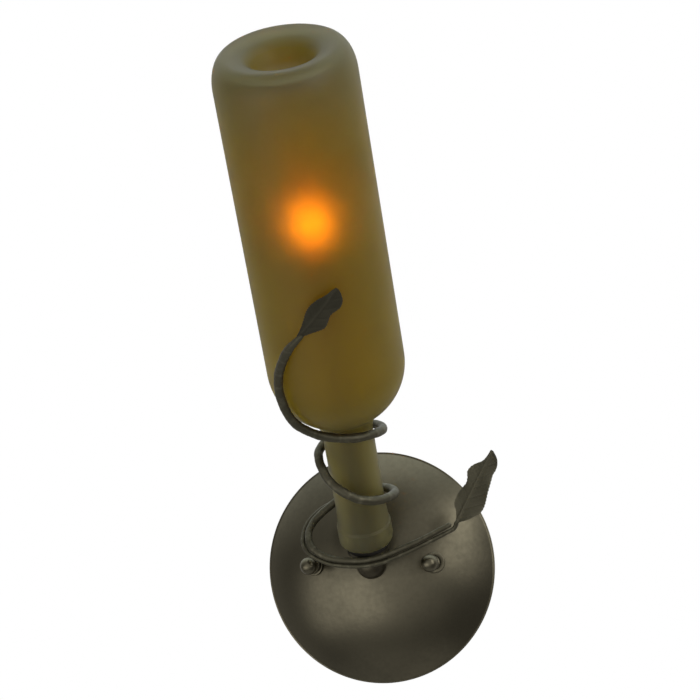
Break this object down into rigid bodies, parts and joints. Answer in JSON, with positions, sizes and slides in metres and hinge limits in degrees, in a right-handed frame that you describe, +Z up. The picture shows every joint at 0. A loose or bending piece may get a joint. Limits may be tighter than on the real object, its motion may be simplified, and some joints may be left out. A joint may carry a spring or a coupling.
{
  "type": "wall sconce",
  "caption": "Wall sconce with an upturned amber glass bottle as its shade, leaning out like a torch from a domed back-plate, with a forged leafy vine round the neck.",
  "frame": {"origin": "on the wall, midway between the two box screws", "axes": "+Z up, -Y out of the wall towards the room, +X to the right as seen from the room"},
  "size_m": [0.1419, 0.2378, 0.3494],
  "materials": {
    "steel": "zinc plated",
    "ground_screw": "green plated",
    "bronze": "satin dark bronze",
    "dark_bronze": "satin dark bronze",
    "brass": "plain",
    "copper": "bare copper",
    "rubber": "matte",
    "black_lead": "insulation",
    "white_lead": "insulation",
    "connector": "moulded",
    "porcelain": "glazed",
    "candle_card": "matte",
    "amber_glass": "frosted amber-olive",
    "bulb_metal": "pressed",
    "black_insulator": "moulded",
    "bulb_glass": "lightly frosted",
    "clear_glass": "clear",
    "filament": "glowing",
    "forged_iron": "dark bronze paint"
  },
  "bodies": {
    "fixture": {"wall_bar": "steel", "ground_screw": "ground_screw", "stud_left": "steel", "stud_right": "steel", "stud_lock_nuts": "steel", "canopy": "bronze", "hub_knuckle": "dark_bronze", "hub_nipple": "steel", "nipple_washer": "steel", "nipple_nut": "steel", "ground_lug": "brass", "ground_wire": "copper", "seat_disc": "dark_bronze", "seat_lock_nut": "steel", "seat_gasket": "rubber", "neck_plug": "rubber", "lamp_pipe": "steel", "live_lead": "black_lead", "neutral_lead": "white_lead", "connector_left": "connector", "connector_right": "connector", "socket_cap": "brass", "socket_insulator": "porcelain", "socket_sleeve": "candle_card", "screw_shell": "brass", "centre_contact": "brass", "vine_rod": "forged_iron", "leaf_stem": "forged_iron", "upper_leaf": "forged_iron", "lower_leaf": "forged_iron", "vine_welds": "forged_iron"},
    "bottle": {"glass_bottle": "amber_glass"},
    "bulb": {"bulb_base": "bulb_metal", "bulb_insulator": "black_insulator", "bulb_contact": "bulb_metal", "bulb_glass": "bulb_glass", "bulb_stem": "clear_glass", "bulb_filament": "filament"},
    "left_washer": {"nut_washer_left": "bronze"},
    "left_nut": {"ball_nut_left": "bronze"},
    "right_washer": {"nut_washer_right": "bronze"},
    "right_nut": {"ball_nut_right": "bronze"}
  },
  "joints": [
    {"name": "bottle_lift", "type": "slide", "parent": "fixture", "child": "bottle", "axis": [0, -0.5736, 0.8192], "range_m": [0, 0.24]},
    {"name": "bulb_turn", "type": "hinge", "parent": "fixture", "child": "bulb", "pos_m": [0, -0.03747, 0.01388], "axis": [0, -0.5736, 0.8192], "range_deg": [0, 1080]},
    {"name": "left_washer_travel", "type": "slide", "parent": "fixture", "child": "left_washer", "axis": [0, -1, 0], "range_m": [0, 0.0087]},
    {"name": "left_nut_turn", "type": "hinge", "parent": "left_washer", "child": "left_nut", "pos_m": [-0.03492, -0.03, 0], "axis": [0, -1, 0], "range_deg": [0, 3960]},
    {"name": "right_washer_travel", "type": "slide", "parent": "fixture", "child": "right_washer", "axis": [0, -1, 0], "range_m": [0, 0.0087]},
    {"name": "right_nut_turn", "type": "hinge", "parent": "right_washer", "child": "right_nut", "pos_m": [0.03492, -0.03, 0], "axis": [0, -1, 0], "range_deg": [0, 3960]}
  ],
  "couplings": [
    {"joint": "left_nut_turn", "follows": "left_washer_travel", "rad_per_m": 7915.8},
    {"joint": "right_nut_turn", "follows": "right_washer_travel", "rad_per_m": 7915.8}
  ]
}
